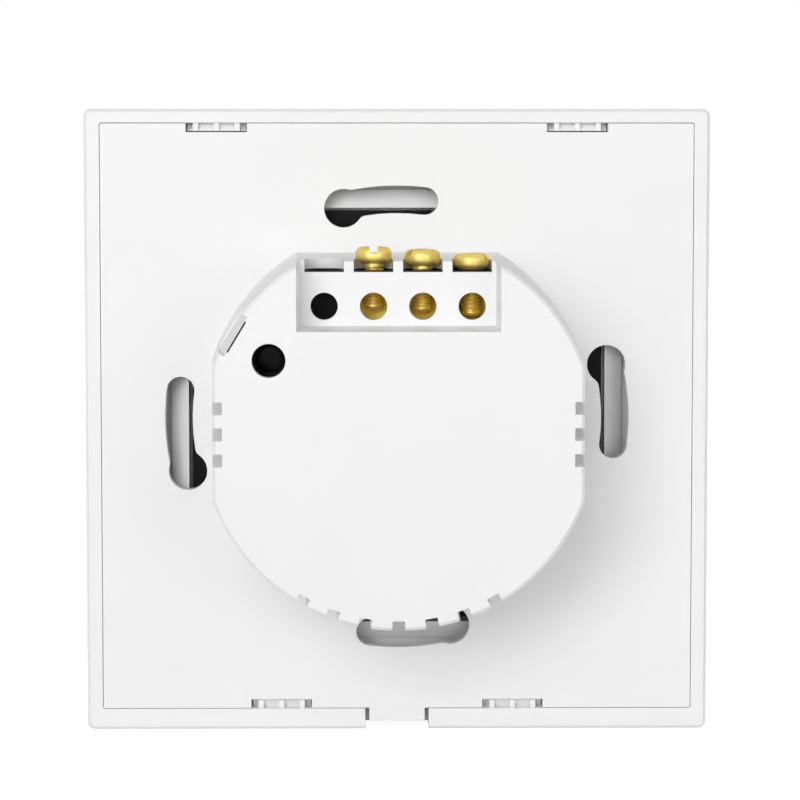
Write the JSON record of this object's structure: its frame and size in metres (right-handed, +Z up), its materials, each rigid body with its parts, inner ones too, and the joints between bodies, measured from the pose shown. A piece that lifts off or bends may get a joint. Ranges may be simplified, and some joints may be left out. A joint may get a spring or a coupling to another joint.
{
  "type": "wall light switch",
  "caption": "Square touch wall switch for a round wall box: glass front panel on a snap frame, round rear body with screw terminals.",
  "frame": {"origin": "middle of the mounting plate's rear face, which lies on the wall", "axes": "+Z up, +Y out of the wall towards the glass, +X to the right as seen from behind"},
  "size_m": [0.086, 0.034, 0.086],
  "materials": {
    "glass": "gloss",
    "adhesive": "matte",
    "white_plastic": "satin",
    "black_board": "satin",
    "green_board": "satin",
    "copper": "satin",
    "clear_plastic": "gloss",
    "led_white": "gloss",
    "steel": "satin",
    "black_plastic": "gloss",
    "blue_plastic": "satin",
    "ferrite": "matte",
    "winding_tape": "satin",
    "yellow_film": "satin",
    "green_coat": "gloss",
    "brass": "satin"
  },
  "bodies": {
    "base": {"back_shell": "white_plastic", "board_carrier": "white_plastic", "carrier_screws": "steel", "touch_board": "black_board", "touch_electrode": "copper", "light_guide": "clear_plastic", "status_leds": "led_white", "wifi_module": "black_board", "wifi_shield": "steel", "board_socket": "black_plastic", "pin_header": "black_plastic", "power_board": "green_board", "relay": "black_plastic", "reservoir_capacitor": "black_plastic", "transformer_core": "ferrite", "transformer_winding": "winding_tape", "film_capacitor": "yellow_film", "varistor": "blue_plastic", "fuse_resistor": "green_coat", "bridge_rectifier": "black_plastic", "terminal_block": "black_plastic", "terminal_clamp_1": "brass", "terminal_clamp_2": "brass", "terminal_clamp_3": "brass"},
    "front_panel": {"glass_panel": "glass", "glass_adhesive": "adhesive", "panel_frame": "white_plastic"},
    "screw_1": {"terminal_screw_1": "brass"},
    "screw_2": {"terminal_screw_2": "brass"},
    "screw_3": {"terminal_screw_3": "brass"}
  },
  "joints": [
    {"name": "panel_pull", "type": "slide", "parent": "base", "child": "front_panel", "axis": [0, 1, 0], "range_m": [0, 0.012]},
    {"name": "screw_1_travel", "type": "slide", "parent": "base", "child": "screw_1", "axis": [0, 0, 1], "range_m": [-0.00111, 0.00255]},
    {"name": "screw_2_travel", "type": "slide", "parent": "base", "child": "screw_2", "axis": [0, 0, 1], "range_m": [-0.00076, 0.0029]},
    {"name": "screw_3_travel", "type": "slide", "parent": "base", "child": "screw_3", "axis": [0, 0, 1], "range_m": [-0.00023, 0.00343]}
  ]
}
